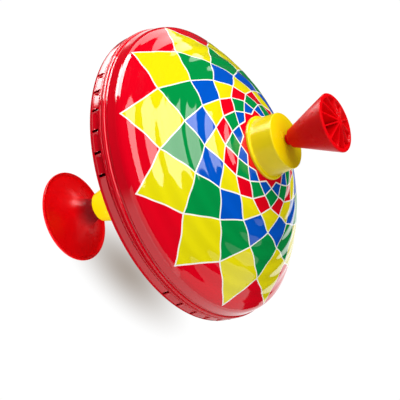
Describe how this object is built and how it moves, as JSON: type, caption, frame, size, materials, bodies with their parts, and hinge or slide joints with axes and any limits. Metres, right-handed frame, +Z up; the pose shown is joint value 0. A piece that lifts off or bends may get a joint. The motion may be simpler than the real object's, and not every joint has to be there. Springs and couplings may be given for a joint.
{
  "type": "spinning top",
  "caption": "Push-and-spin humming top: a printed tin body that turns on a trumpet foot, driven by pumping a conical knob on a twisted rod.",
  "frame": {"origin": "centre of the face that the foot stands on, on the spin axis", "axes": "+Z up along the spin axis, from the foot to the knob"},
  "size_m": [0.19, 0.19, 0.2095],
  "materials": {
    "red_plastic": "smooth moulded gloss",
    "yellow_plastic": "smooth moulded gloss",
    "red_tin": "gloss enamel on tinplate",
    "printed_tin": "gloss lacquer over a printed harlequin pattern",
    "steel": "bright drawn steel",
    "nylon": "natural nylon"
  },
  "bodies": {
    "foot_unit": {"foot": "red_plastic", "foot_spindle": "steel", "spindle_clip": "steel", "pivot_ball": "steel"},
    "spinning_body": {"upper_shell": "printed_tin", "lower_shell": "red_tin", "top_collar": "yellow_plastic", "rod_guide": "yellow_plastic", "top_lock_ring": "steel", "clutch_ring": "nylon", "guide_tube": "steel", "bottom_collar": "yellow_plastic", "bottom_lock_ring": "steel", "bearing_bush": "nylon", "thrust_cup": "steel"},
    "nut_unit": {"drive_nut": "nylon", "slot_plate": "steel"},
    "plunger": {"knob": "red_plastic", "spiral_rod": "steel", "rod_stop": "steel"}
  },
  "joints": [
    {"name": "body_spin", "type": "hinge", "parent": "foot_unit", "child": "spinning_body", "pos_m": [0, 0, 0.044], "axis": [0, 0, 1], "continuous": true},
    {"name": "handle_pump", "type": "slide", "parent": "spinning_body", "child": "plunger", "axis": [0, 0, 1], "range_m": [0, 0.098]},
    {"name": "nut_turn", "type": "hinge", "parent": "spinning_body", "child": "nut_unit", "pos_m": [0, 0, 0.16], "axis": [0, 0, 1], "range_deg": [-740, 0]}
  ],
  "couplings": [
    {"joint": "nut_turn", "follows": "handle_pump", "rad_per_m": -130.9}
  ]
}
